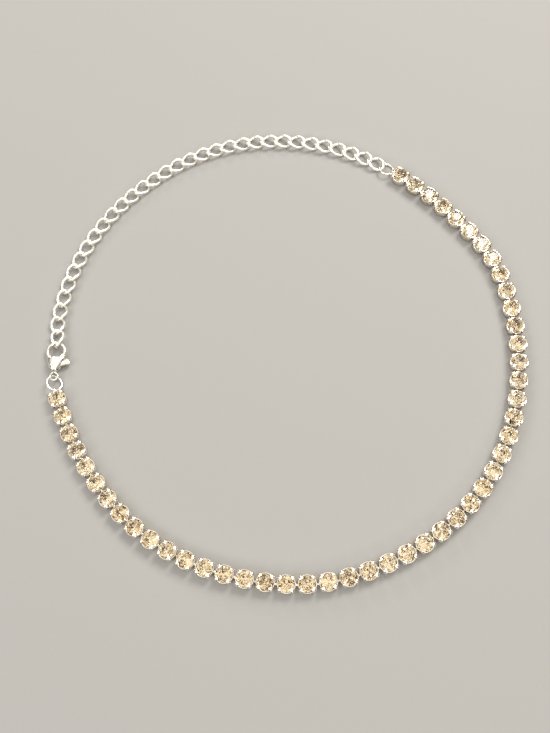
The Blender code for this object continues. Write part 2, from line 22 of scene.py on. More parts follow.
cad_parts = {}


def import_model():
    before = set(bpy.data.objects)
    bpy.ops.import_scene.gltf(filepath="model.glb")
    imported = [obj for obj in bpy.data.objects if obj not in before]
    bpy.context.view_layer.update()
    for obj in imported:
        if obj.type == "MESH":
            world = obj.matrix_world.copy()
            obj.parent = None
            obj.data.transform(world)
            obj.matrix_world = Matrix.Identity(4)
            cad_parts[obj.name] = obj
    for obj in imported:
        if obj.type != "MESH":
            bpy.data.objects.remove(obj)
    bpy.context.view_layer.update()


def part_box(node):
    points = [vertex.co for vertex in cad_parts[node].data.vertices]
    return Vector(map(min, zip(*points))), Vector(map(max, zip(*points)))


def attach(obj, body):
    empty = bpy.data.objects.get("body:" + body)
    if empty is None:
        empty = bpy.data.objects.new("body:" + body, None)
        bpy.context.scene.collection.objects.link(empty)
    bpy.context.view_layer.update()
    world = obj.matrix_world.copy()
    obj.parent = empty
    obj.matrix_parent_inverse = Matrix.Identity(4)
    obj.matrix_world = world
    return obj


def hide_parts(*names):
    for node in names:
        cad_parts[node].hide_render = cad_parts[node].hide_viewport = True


LOG = logging.getLogger("necklace")
RIGID_BODY = "necklace"
LEVER_BODY = "lever"
STAND_UP = Matrix.Rotation(pi / 2, 4, "Y")
QUARTER = Matrix.Rotation(pi / 2, 4, "Z")
UP = Vector((0, 0, 1))


class Slot(Enum):
    """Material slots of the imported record."""

    CRYSTAL = "crystal"
    SILVER = "silver"


class Shading(Enum):
    """How a piece's faces are shaded: cut facets, or one polished skin."""

    FACETED = None
    POLISHED = radians(42.0)


def turns_round(count: int) -> list[float]:
    """Angles that split a full turn evenly."""
    return [2 * pi * step / count for step in range(count)]


# Sizes shared by the sub-assemblies, and the loop that they follow


@dataclass(frozen=True)
class Sizes:
    """Sizes that one sub-assembly takes from another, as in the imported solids."""

    stone_count: int = 48
    stone_radius: float = 0.0023
    cup_radius: float = 0.0025
    cup_gap: float = 0.0006
    cup_height: float = 0.00245
    ring_radius: float = 0.0022
    ring_wire: float = 0.0006
    ring_gap: float = 0.00008
    chain_ring_tilt: float = radians(-18.0)
    link_count: int = 32
    link_half_length: float = 0.0025
    link_half_width: float = 0.001875
    link_wire: float = 0.00085
    link_twist: float = radians(45.0)
    link_pitch: float = 0.0043923
    link_steps: int = 12
    climb_links: int = 3
    clasp_thickness: float = 0.0030
    eye_radius: float = 0.00115
    eye_wire: float = 0.0005
    hook_centre: float = 0.00775
    hook_half_width: float = 0.0025
    hook_half_height: float = 0.002575
    hook_wire: float = 0.00105
    hook_depth: float = 0.00115
    hook_gap: float = 0.00013

    @property
    def stone_pitch(self) -> float:
        """Length of the loop from one stone to the next."""
        return 2 * self.cup_radius + self.cup_gap

    @property
    def hook_top(self) -> float:
        """Distance from the clasp's eye to the wire at the top of its hook."""
        return self.hook_centre + self.hook_half_height

    @property
    def clasp_ring_tilt(self) -> float:
        """Lean that takes the clasp's jump ring just clear of the eye's wire."""
        return asin(((self.eye_wire + self.ring_wire) / 2 + self.ring_gap) / self.eye_radius)

    @property
    def hooked_reach(self) -> float:
        """Distance from the top of the hook to the middle of the link that it holds."""
        return self.link_half_length - (self.link_wire + self.hook_wire) / 2 - self.hook_gap

    @property
    def hooked_roll(self) -> float:
        """Roll that takes the held link's sides clear of the hook.

        Returns:
            The roll about the link's length.
        """
        turn = acos(self.hooked_reach / self.link_half_length)
        clear = (self.link_wire + self.hook_depth) / 2 + self.hook_gap
        return self.link_twist * cos(turn) - asin(clear / (self.link_half_width * sin(turn)))

    def link_point(self, turn: float, roll: float, stretch: float = 0.0) -> Vector:
        """Point of a curb link's centre line, an ellipse twisted about its length.

        Args:
            turn: Angle round the link.
            roll: Turn of the whole link about its length.
            stretch: Length added to half of the link's length.

        Returns:
            The point in the link's own frame, X along the chain.
        """
        lean = roll + self.link_twist * cos(turn)
        side = self.link_half_width * sin(turn)
        reach = (self.link_half_length + stretch) * cos(turn)
        return Vector((reach, side * cos(lean), side * sin(lean)))

    def link_level(self, roll: float) -> float:
        """Height of a link's middle when the link, rolled by roll, lies on the table."""
        heights = [self.link_point(turn, roll).z for turn in turns_round(self.link_steps)]
        return self.link_wire / 2 - min(heights)

    def ring_level(self, tilt: float) -> float:
        """Height of a leaning jump ring's middle when the ring touches the table."""
        return self.ring_radius * abs(sin(tilt)) + self.ring_wire / 2

    @property
    def clasp_level(self) -> float:
        """Height of the clasp's middle plane."""
        return max(
            self.clasp_thickness / 2,
            self.ring_level(self.clasp_ring_tilt),
            self.link_level(self.hooked_roll),
        )


@dataclass(frozen=True)
class Marks:
    """Places along the loop, clockwise from the first stone."""

    sizes: Sizes

    @property
    def cup_to_ring(self) -> float:
        """Length from an end stone to the middle of its jump ring."""
        s = self.sizes
        return s.cup_radius + s.ring_gap + s.ring_wire / 2 + s.ring_radius

    @property
    def clasp_ring(self) -> float:
        """Mark of the clasp's jump ring."""
        return (self.sizes.stone_count - 1) * self.sizes.stone_pitch + self.cup_to_ring

    @property
    def eye(self) -> float:
        """Mark of the clasp's eye."""
        return self.clasp_ring + self.sizes.ring_radius

    @property
    def last_link(self) -> float:
        """Mark of the link that the clasp holds."""
        return self.eye + self.sizes.hook_top + self.sizes.hooked_reach

    @property
    def chain_ring(self) -> float:
        """Mark of the extension chain's jump ring.

        Returns:
            The length along the loop from the first stone.
        """
        s = self.sizes
        reach = s.link_half_length - (s.link_wire + s.ring_wire) / 2 - s.ring_gap + s.ring_radius
        return self.last_link + (s.link_count - 1) * s.link_pitch + reach

    @property
    def length(self) -> float:
        """Length of the whole loop."""
        return self.chain_ring + self.cup_to_ring


@dataclass
class Loop:
    """The loop's outline from above, followed clockwise from the first stone.

    knots are degrees anticlockwise from +X, with the radius there as a share of
    the mean radius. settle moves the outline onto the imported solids.
    """

    length: float
    start: float = radians(48.9)
    steps: int = 1440
    settle: Vector = field(default_factory=lambda: Vector((0, 0, 0)))
    knots: tuple[tuple[float, float], ...] = (
        (0, 0.992), (15, 0.995), (30, 0.971), (45, 0.970), (60, 0.991),
        (75, 1.010), (90, 1.023), (105, 1.026), (120, 1.018), (135, 1.012),
        (150, 1.004), (165, 0.993), (172, 0.982), (180, 0.993), (195, 0.977),
        (210, 0.975), (225, 0.987), (240, 0.994), (255, 1.001), (270, 1.014),
        (285, 1.015), (300, 1.018), (315, 1.019), (330, 1.009), (345, 0.996),
    )

    def __post_init__(self) -> None:
        """Measure the outline once, at the scale that gives it its length."""
        turns = [*turns_round(self.steps), 2 * pi]
        shape = [self.shape_point(self.start - turn) for turn in turns]
        spans = [(b - a).length for a, b in zip(shape, shape[1:])]
        scale = self.length / sum(spans)
        self.points = [point * scale for point in shape]
        self.marks = [0.0]
        for span in spans:
            self.marks.append(self.marks[-1] + span * scale)

    def shape_point(self, angle: float) -> Vector:
        """Point on a smooth curve through the knots.

        Args:
            angle: Direction of the point from the loop's middle, anticlockwise from +X.

        Returns:
            The point, where the mean radius is 1.
        """
        laps = [
            (radians(degrees) + 2 * pi * lap, share)
            for lap in (-1, 0, 1) for degrees, share in self.knots
        ]
        around = angle % (2 * pi)
        first = max(number for number, (turn, _) in enumerate(laps) if turn <= around)
        (t0, p0), (t1, p1), (t2, p2), (t3, p3) = laps[first - 1:first + 3]
        width = t2 - t1
        part = (around - t1) / width
        share = (
            p1 * (2 * part ** 3 - 3 * part ** 2 + 1)
            + (p2 - p0) / (t2 - t0) * width * (part ** 3 - 2 * part ** 2 + part)
            + p2 * (3 * part ** 2 - 2 * part ** 3)
            + (p3 - p1) / (t3 - t1) * width * (part ** 3 - part ** 2)
        )
        return Vector((share * cos(angle), share * sin(angle), 0))

    def point(self, mark: float) -> Vector:
        """Point of the outline.

        Args:
            mark: Its length along the loop from the first stone.

        Returns:
            The point, on the table.
        """
        mark %= self.length
        high = min(bisect_right(self.marks, mark), len(self.marks) - 1)
        low = high - 1
        part = (mark - self.marks[low]) / (self.marks[high] - self.marks[low])
        return self.points[low].lerp(self.points[high], part) + self.settle

    def place(self, start: float, end: float, level: float, climb: float = 0.0) -> Matrix:
        """Frame midway between two marks, X along the loop and Z up.

        Args:
            start: Mark where what is placed begins.
            end: Mark where it ends.
            level: Height of its middle.
            climb: Height that it gains from start to end.

        Returns:
            The frame.
        """
        along = self.point(end) - self.point(start)
        centre = self.point((start + end) / 2) + Vector((0, 0, level))
        heading = Matrix.Rotation(atan2(along.y, along.x), 4, "Z")
        pitch = Matrix.Rotation(-atan2(climb, end - start), 4, "Y")
        return Matrix.Translation(centre) @ heading @ pitch

    def place_clasp(self, sizes: Sizes, marks: Marks) -> Matrix:
        """Frame of the clasp.

        Args:
            sizes: The shared sizes.
            marks: Places along the loop.

        Returns:
            The frame: origin in the clasp's eye, Y along it to the hook, Z up.
        """
        span = self.place(marks.eye, marks.eye + sizes.hook_top, sizes.clasp_level)
        eye = self.point(marks.eye) + Vector((0, 0, sizes.clasp_level))
        facing = span.to_3x3().to_4x4() @ QUARTER.inverted()
        return Matrix.Translation(eye) @ facing


# Shader maths and finishes


class Link:
    """A node's output socket that Python's operators work on."""

    def __init__(self, graph: Graph, socket: bpy.types.NodeSocket) -> None:
        """Keep the socket and the graph that it belongs to."""
        self.graph = graph
        self.socket = socket

    def maths(self, operation: str, first: Link | float, second: Link | float) -> Link:
        """Result of a Math node's operation on two values."""
        inputs = {0: first, 1: second}
        return self.graph.node("ShaderNodeMath", {"operation": operation}, inputs, "Value")

    def __add__(self, other: Link | float) -> Link:
        """Sum of two values."""
        return self.maths("ADD", self, other)

    def __radd__(self, other: float) -> Link:
        """Sum of a number and a value."""
        return self.maths("ADD", other, self)

    def __mul__(self, other: Link | float) -> Link:
        """Product of two values."""
        return self.maths("MULTIPLY", self, other)

    def __rmul__(self, other: float) -> Link:
        """Product of a number and a value."""
        return self.maths("MULTIPLY", other, self)


class Graph:
    """Node tree of a material or of the world, filled in one node at a time."""

    def __init__(
        self, owner: bpy.types.Material | bpy.types.World, output: str = "ShaderNodeOutputMaterial"
    ) -> None:
        """Start the tree with nothing but its output.

        Args:
            owner: The material or world, as new.
            output: Type of its output node.
        """
        owner.use_nodes = True
        self.owner = owner
        self.tree = owner.node_tree
        self.tree.nodes.clear()
        self.output = self.tree.nodes.new(output)

    def node(
        self, kind: str, settings: dict[str, object], inputs: dict[str | int, object], output: str
    ) -> Link:
        """Add a node.

        Args:
            kind: The node's type.
            settings: Its properties, set first; stops holds a ramp's positions and colours.
            inputs: Numbers, colours or links of its sockets, by name or number.
            output: The output that is wanted.

        Returns:
            That output.
        """
        node = self.tree.nodes.new(kind)
        for name, value in settings.items():
            if name == "stops":
                self.set_stops(node.color_ramp, value)
            else:
                setattr(node, name, value)
        for name, value in inputs.items():
            if isinstance(value, Link):
                self.tree.links.new(value.socket, node.inputs[name])
            else:
                node.inputs[name].default_value = value
        return Link(self, node.outputs[output])

    @staticmethod
    def set_stops(
        ramp: bpy.types.ColorRamp, stops: Sequence[tuple[float, Sequence[float]]]
    ) -> None:
        """Give a ramp its stops.

        Args:
            ramp: The ramp, as new.
            stops: Position and colour of each stop, in order.
        """
        for _ in range(len(stops) - 2):
            ramp.elements.new(0.5)
        for element, (position, colour) in zip(ramp.elements, stops):
            element.position = position
            element.color = (*colour, 1.0)

    def noise(self, scale: float, detail: float) -> Link:
        """Even noise through the piece.

        Args:
            scale: Grains a metre.
            detail: Octaves of finer grain.

        Returns:
            The noise, from 0 to 1.
        """
        place = self.node("ShaderNodeTexCoord", {}, {}, "Object")
        inputs = {"Vector": place, "Scale": scale, "Detail": detail}
        return self.node("ShaderNodeTexNoise", {}, inputs, "Fac")

    def attribute(self, name: str) -> Link:
        """A number kept with the piece's faces."""
        return self.node("ShaderNodeAttribute", {"attribute_name": name}, {}, "Fac")

    def ramp(self, factor: Link, *stops: tuple[float, Sequence[float]]) -> Link:
        """Colour that a factor picks from a ramp."""
        return self.node("ShaderNodeValToRGB", {"stops": stops}, {"Fac": factor}, "Color")

    def spread(self, factor: Link, low: float, high: float) -> Link:
        """Factor stretched so that low becomes 0 and high becomes 1, held between them."""
        inputs = {"Value": factor, "From Min": low, "From Max": high}
        return self.node("ShaderNodeMapRange", {"clamp": True}, inputs, "Result")

    def bump(self, height: Link, strength: float, distance: float) -> Link:
        """Normal of a surface with a low relief."""
        inputs = {"Height": height, "Strength": strength, "Distance": distance}
        return self.node("ShaderNodeBump", {}, inputs, "Normal")

    def close(self, shader: Link) -> bpy.types.Material | bpy.types.World:
        """Join the last shader to the output and hand over the tree's owner."""
        self.tree.links.new(shader.socket, self.output.inputs["Surface"])
        return self.owner

    def surface(self, **sockets: object) -> bpy.types.Material:
        """Close the graph with a Principled shader; its sockets have _ for a space."""
        inputs = {name.replace("_", " "): value for name, value in sockets.items()}
        return self.close(self.node("ShaderNodeBsdfPrincipled", {}, inputs, "BSDF"))


@dataclass(frozen=True)
class SilverPlate:
    """Bright silver-tone plating, with a warm film in patches and hairline scratches."""

    name: str
    clean: tuple[float, float, float] = (0.97, 0.945, 0.89)
    film: tuple[float, float, float] = (0.78, 0.69, 0.55)
    film_scale: float = 520.0
    film_edge: tuple[float, float] = (0.42, 0.78)
    scratch_scale: float = 5200.0
    polish: float = 0.15
    haze: float = 0.13
    scratch_haze: float = 0.05
    scratch_strength: float = 0.12
    scratch_depth: float = 0.00001

    def material(self) -> bpy.types.Material:
        """Make the material, hazier in the film and along the scratches.

        Returns:
            The material.
        """
        graph = Graph(bpy.data.materials.new(self.name))
        patches = graph.spread(graph.noise(self.film_scale, 3.0), *self.film_edge)
        scratches = graph.noise(self.scratch_scale, 2.0)
        colour = graph.ramp(patches, (0.0, self.clean), (1.0, self.film))
        roughness = self.polish + patches * self.haze + scratches * self.scratch_haze
        normal = graph.bump(scratches, self.scratch_strength, self.scratch_depth)
        return graph.surface(Base_Color=colour, Metallic=1.0, Roughness=roughness, Normal=normal)


@dataclass(frozen=True)
class CutGlass:
    """Clear lead glass of the crowns, from nearly colourless to champagne."""

    name: str = "cut_glass"
    index: float = 1.58

    def material(self) -> bpy.types.Material:
        """Make the material, tinted by each stone's own tone.

        Returns:
            The material.
        """
        graph = Graph(bpy.data.materials.new(self.name))
        colour = graph.ramp(
            graph.attribute("stone_tone"),
            (0.0, (1.0, 0.99, 0.96)), (0.5, (1.0, 0.97, 0.89)), (1.0, (1.0, 0.94, 0.82)),
        )
        return graph.surface(
            Base_Color=colour, Metallic=0.0, Roughness=0.0, IOR=self.index, Transmission_Weight=1.0
        )


@dataclass(frozen=True)
class FoilBack:
    """Mirror foil under the stones: its own cream, with painted dark reflections and painted shade
    as dark brown facets and specks.
    """

    name: str = "foil_back"
    painted_reflection_scale: float = 2300.0
    painted_reflection_edge: tuple[float, float] = (0.32, 0.64)
    painted_reflection_share: float = 0.44
    roughness: float = 0.035

    def material(self) -> bpy.types.Material:
        """Make the material, from each facet's random tone and the specks of painted dark
        reflection.

        Returns:
            The material.
        """
        graph = Graph(bpy.data.materials.new(self.name))
        # Noise specks of painted dark reflection and painted shade in the foil.
        painted_reflection_specks = graph.spread(graph.noise(self.painted_reflection_scale, 1.0), *self.painted_reflection_edge)
        tone = graph.attribute("facet_tone") * (1 - self.painted_reflection_share) + painted_reflection_specks * self.painted_reflection_share
        # The dark brown stops are painted reflection and painted shade; the cream stops are the
        # foil's own colour.
        colour = graph.ramp(
            tone,
            (0.0, (0.035, 0.02, 0.01)), (0.27, (0.12, 0.07, 0.035)), (0.31, (0.54, 0.41, 0.27)),
            (0.36, (0.90, 0.80, 0.65)), (0.64, (0.95, 0.88, 0.75)), (1.0, (1.0, 0.97, 0.90)),
        )
        return graph.surface(Base_Color=colour, Metallic=1.0, Roughness=self.roughness)


@dataclass(frozen=True)
class PaleFloor:
    """Matt pale card under the necklace."""

    name: str = "pale_card"
    colour: tuple[float, float, float] = (0.335, 0.33, 0.32)
    grain_scale: float = 900.0
    grain_depth: float = 0.03
    roughness: float = 0.85
    specular: float = 0.2

    def material(self) -> bpy.types.Material:
        """Make the material, a little darker in its grain.

        Returns:
            The material.
        """
        graph = Graph(bpy.data.materials.new(self.name))
        dark = [part * (1 - self.grain_depth) for part in self.colour]
        colour = graph.ramp(graph.noise(self.grain_scale, 3.0), (0.0, dark), (1.0, self.colour))
        return graph.surface(
            Base_Color=colour, Roughness=self.roughness, Specular_IOR_Level=self.specular
        )


# Mesh tools


def tube(
    bm: bmesh.types.BMesh, frames: Sequence[Matrix], sides: int, closed: bool = False
) -> list[list[bmesh.types.BMVert]]:
    """Skin over circles of radius one, one in the YZ plane of each frame.

    Args:
        bm: Mesh that the tube is added to.
        frames: Frames along the tube, scaled to its half sizes in Y and Z.
        sides: Sides of its section.
        closed: Whether the last section meets the first.

    Returns:
        The points of each section.
    """
    sections = []
    loops = []
    for frame in frames:
        made = bmesh.ops.create_circle(
            bm, cap_ends=False, segments=sides, radius=1.0, matrix=frame @ STAND_UP
        )
        sections.append(made["verts"])
        loops.append(list({edge for vert in made["verts"] for edge in vert.link_edges}))
    for first, second in zip(loops, loops[1:]):
        bmesh.ops.bridge_loops(bm, edges=first + second)
    if closed:
        bmesh.ops.bridge_loops(bm, edges=loops[-1] + loops[0])
    else:
        bmesh.ops.edgeloop_fill(bm, edges=loops[0])
        bmesh.ops.edgeloop_fill(bm, edges=loops[-1])
    return sections


def frames_along(
    points: Sequence[Vector],
    sizes: Iterable[tuple[float, float]],
    closed: bool = False,
    up: Vector = UP,
) -> list[Matrix]:
    """Frames on a line of points, X along it and Z as near up as that leaves.

    Args:
        points: The line.
        sizes: Half size across, in Y, and half size in Z at each point.
        closed: Whether the line ends where it starts.
        up: Direction that the frames keep to.

    Returns:
        The frames, scaled to the half sizes.
    """
    frames = []
    last = len(points) - 1
    for number, (point, (half_width, half_depth)) in enumerate(zip(points, sizes)):
        ahead = points[(number + 1) % len(points)] if closed else points[min(number + 1, last)]
        behind = points[number - 1] if closed else points[max(number - 1, 0)]
        x_axis = (ahead - behind).normalized()
        y_axis = up.cross(x_axis).normalized()
        frame = Matrix((x_axis, y_axis, x_axis.cross(y_axis))).transposed().to_4x4()
        frame.translation = point
        frames.append(frame @ Matrix.Diagonal((1, half_width, half_depth, 1)))
    return frames


def wire(
    bm: bmesh.types.BMesh,
    points: Sequence[Vector],
    diameter: float,
    sides: int,
    closed: bool = False,
    up: Vector = UP,
) -> None:
    """Add a round wire along a line of points, with its sections kept to up."""
    half = diameter / 2
    tube(bm, frames_along(points, [(half, half)] * len(points), closed, up), sides, closed)


def add_copy(
    bm: bmesh.types.BMesh, mesh: bpy.types.Mesh, place: Matrix
) -> list[bmesh.types.BMFace]:
    """Add a placed copy of a mesh.

    Args:
        bm: Mesh that the copy is added to.
        mesh: What is copied.
        place: Where the copy goes.

    Returns:
        The copy's faces.
    """
    known = set(bm.faces)
    copy = mesh.copy()
    copy.transform(place)
    bm.from_mesh(copy)
    bpy.data.meshes.remove(copy)
    return [face for face in bm.faces if face not in known]


def reopened(mesh: bpy.types.Mesh) -> bmesh.types.BMesh:
    """Turn a mesh, which is used up, back into a bmesh.

    Args:
        mesh: The mesh.

    Returns:
        The bmesh.
    """
    bm = bmesh.new()
    bm.from_mesh(mesh)
    bpy.data.meshes.remove(mesh)
    return bm


def put(name: str, data: bpy.types.ID) -> bpy.types.Object:
    """Put a new object into the scene.

    Args:
        name: Its name.
        data: Its mesh, light or camera.

    Returns:
        The object.
    """
    item = bpy.data.objects.new(name, data)
    bpy.context.scene.collection.objects.link(item)
    return item


def to_mesh(name: str, bm: bmesh.types.BMesh) -> bpy.types.Mesh:
    """Turn a bmesh, which is used up, into a mesh whose faces point outwards.

    Args:
        name: The mesh's name.
        bm: The bmesh.

    Returns:
        The mesh.
    """
    bmesh.ops.recalc_face_normals(bm, faces=bm.faces)
    mesh = bpy.data.meshes.new(name)
    bm.to_mesh(mesh)
    bm.free()
    return mesh


def show(
    mesh: bpy.types.Mesh,
    materials: Sequence[bpy.types.Material],
    node: str,
    body: str = RIGID_BODY,
    shading: Shading = Shading.POLISHED,
) -> None:
    """Show a mesh as a piece of the necklace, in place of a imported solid.

    Args:
        mesh: Its mesh, in the necklace's frame, with the piece's name.
        materials: Its finishes.
        node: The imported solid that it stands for.
        body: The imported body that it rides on.
        shading: How its faces are shaded.
    """
    for material in materials:
        mesh.materials.append(material)
    if shading is Shading.POLISHED:
        mesh.shade_smooth()
        mesh.set_sharp_from_angle(angle=shading.value)
    piece = put(mesh.name, mesh)
    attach(piece, body)
    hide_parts(node)
    LOG.info("%s: %d faces, for %s", piece.name, len(mesh.polygons), node)


def worked(
    name: str, mesh: bpy.types.Mesh, modifiers: Sequence[tuple[str, dict[str, object]]]
) -> bpy.types.Mesh:
    """Mesh as modifiers leave it.

    Args:
        name: Name of the new mesh.
        mesh: What is worked on, which is used up.
        modifiers: Type and settings of each, in order.

    Returns:
        The new mesh.
    """
    piece = put(name, mesh)
    for kind, settings in modifiers:
        modifier = piece.modifiers.new(kind.lower(), kind)
        for setting, value in settings.items():
            setattr(modifier, setting, value)
    depsgraph = bpy.context.evaluated_depsgraph_get()
    result = bpy.data.meshes.new_from_object(piece.evaluated_get(depsgraph))
    bpy.data.objects.remove(piece)
    bpy.data.meshes.remove(mesh)
    result.name = name
    return result


def carve(
    name: str, solid: bpy.types.Mesh, cutters: Sequence[bpy.types.Mesh]
) -> bpy.types.Mesh:
    """Cut closed shapes out of a solid.

    Args:
        name: Name of what is left.
        solid: What is cut.
        cutters: Closed shapes that are cut out, which are used up.

    Returns:
        What is left.
    """
    how = {"operation": "DIFFERENCE", "solver": "EXACT"}
    cuts = [("BOOLEAN", {**how, "object": put(cutter.name, cutter)}) for cutter in cutters]
    result = worked(name, solid, cuts)
    for cutter in cutters:
        bpy.data.meshes.remove(cutter)
    return result


def cast(name: str, solid: bpy.types.Mesh, grain: float, rounds: int) -> bpy.types.Mesh:
    """Melt overlapping shapes into one casting with softened edges.

    Args:
        name: Name of the casting.
        solid: Closed shapes that overlap.
        grain: Size of the casting's faces.
        rounds: Rounds of smoothing.

    Returns:
        The casting's mesh.
    """
    melt = ("REMESH", {"mode": "VOXEL", "voxel_size": grain})
    polish = ("SMOOTH", {"factor": 0.5, "iterations": rounds})
    return worked(name, solid, [melt, polish])


# Sub-assemblies


@dataclass
class CutStone:
    """Round cut stone: table, stars, kites and girdle facets over a pointed foiled back."""

    radius: float
    girdle_level: float
    crown_height: float = 0.00105
    table_share: float = 0.54
    star_share: float = 0.76
    girdle_half: float = 0.00004
    pavilion_depth: float = 0.00190
    lower_share: float = 0.30
    table_sides: int = 8
    girdle_sides: int = 16
    flat_angle: float = radians(1.0)
    crown_slope: float = 0.1

    def rows(self) -> list[tuple[float, float, int, float]]:
        """Rings of points that the stone is the hull of, from its table down.

        Returns:
            Radius, height above the girdle, number of points and turn in steps of each.
        """
        table = self.radius * self.table_share
        star = self.radius * self.star_share
        lower = self.radius * self.lower_share
        sides = self.table_sides
        inner = cos(pi / sides)
        star_rise = self.crown_height * (self.radius - star * inner) / (self.radius - table)
        lower_drop = self.pavilion_depth * (1 - lower * inner / self.radius)
        return [
            (table, self.crown_height, sides, 0.0),
            (star, star_rise, sides, 0.5),
            (self.radius, self.girdle_half, self.girdle_sides, 0.0),
            (self.radius, -self.girdle_half, self.girdle_sides, 0.0),
            (lower, -lower_drop, sides, 0.5),
        ]

    def mesh(self) -> bpy.types.Mesh:
        """Make the stone, with its crown in the first finish and its back in the second.

        Returns:
            The stone's mesh.
        """
        bm = bmesh.new()
        for radius, rise, count, turn in self.rows():
            turned = Matrix.Rotation(turn * 2 * pi / count, 4, "Z")
            bmesh.ops.create_circle(
                bm, cap_ends=False, segments=count, radius=radius,
                matrix=Matrix.Translation((0, 0, self.girdle_level + rise)) @ turned,
            )
        bmesh.ops.create_vert(bm, co=(0, 0, self.girdle_level - self.pavilion_depth))
        bmesh.ops.convex_hull(bm, input=bm.verts)
        bmesh.ops.dissolve_limit(
            bm, angle_limit=self.flat_angle, verts=bm.verts, edges=bm.edges,
            use_dissolve_boundaries=False,
        )
        bm.normal_update()
        for face in bm.faces:
            face.material_index = 0 if face.normal.z > self.crown_slope else 1
        return to_mesh("cut_stone", bm)


@dataclass
class ClawCup:
    """Cup with a scalloped rim and four claws bent over the stone's edge.

    claw_line goes from a claw's root to its tip: way out from the cup's wall,
    height above its rim, and share of the claw's full section.
    """

    radius: float
    height: float
    stone_radius: float
    stone_overlap: float = 0.00002
    steps: int = 32
    weld: float = 0.000002
    base_thickness: float = 0.00025
    scallop: float = 0.00022
    scallop_depth: float = 0.0006
    claw_width: float = 0.00130
    claw_depth: float = 0.00042
    claw_sides: int = 8
    claw_facing: tuple[float, float, float] = (1, 0, 0.4)
    claw_line: tuple[tuple[float, float, float], ...] = (
        (-0.00006, -0.00170, 0.70), (0.00014, -0.00115, 0.95), (0.00027, -0.00025, 1.00),
        (0.00026, 0.00016, 1.00), (0.00008, 0.00048, 0.98), (-0.00024, 0.00067, 0.88),
        (-0.00055, 0.00077, 0.68), (-0.00070, 0.00080, 0.36),
    )

    def profile(self) -> list[tuple[float, float]]:
        """Half section of the cup.

        Returns:
            Radius and height of its points, from the base's middle round the rim.
        """
        outer = self.radius
        inner = self.stone_radius - self.stone_overlap
        rim = self.height
        return [
            (0.0, 0.0), (outer * 0.86, 0.0), (outer * 0.95, 0.00007), (outer, 0.00028),
            (outer + 0.00001, rim - 0.00010), (outer - 0.00005, rim), (inner + 0.00005, rim),
            (inner, rim - 0.00012), (inner - 0.0001, 0.00035), (0.0, self.base_thickness),
        ]

    def claw(self) -> bpy.types.Mesh:
        """Make the claw that stands on the side of +X.

        Returns:
            The claw's mesh.
        """
        bm = bmesh.new()
        points = [Vector((self.radius + x, 0, self.height + z)) for x, z, _ in self.claw_line]
        sizes = [
            (self.claw_width / 2 * share, self.claw_depth / 2 * share)
            for _, _, share in self.claw_line
        ]
        outward = Vector(self.claw_facing).normalized()
        tube(bm, frames_along(points, sizes, up=outward), self.claw_sides)
        return to_mesh("claw", bm)

    def mesh(self) -> bpy.types.Mesh:
        """Make the cup and its claws.

        Returns:
            The cup's mesh.
        """
        bm = bmesh.new()
        verts = [bm.verts.new((x, 0, z)) for x, z in self.profile()]
        edges = [bm.edges.new(pair) for pair in zip(verts, verts[1:])]
        bmesh.ops.spin(
            bm, geom=verts + edges, cent=(0, 0, 0), axis=(0, 0, 1), angle=2 * pi,
            steps=self.steps, use_merge=True,
        )
        bmesh.ops.remove_doubles(bm, verts=bm.verts, dist=self.weld)
        for vert in bm.verts:
            turn = atan2(vert.co.y, vert.co.x)
            near_rim = max(0.0, 1 - (self.height - vert.co.z) / self.scallop_depth)
            vert.co.z -= self.scallop * near_rim * (1 + cos(4 * turn)) / 2
        claw = self.claw()
        for turn in turns_round(4):
            add_copy(bm, claw, Matrix.Rotation(pi / 4 + turn, 4, "Z"))
        bpy.data.meshes.remove(claw)
        return to_mesh("claw_cup", bm)


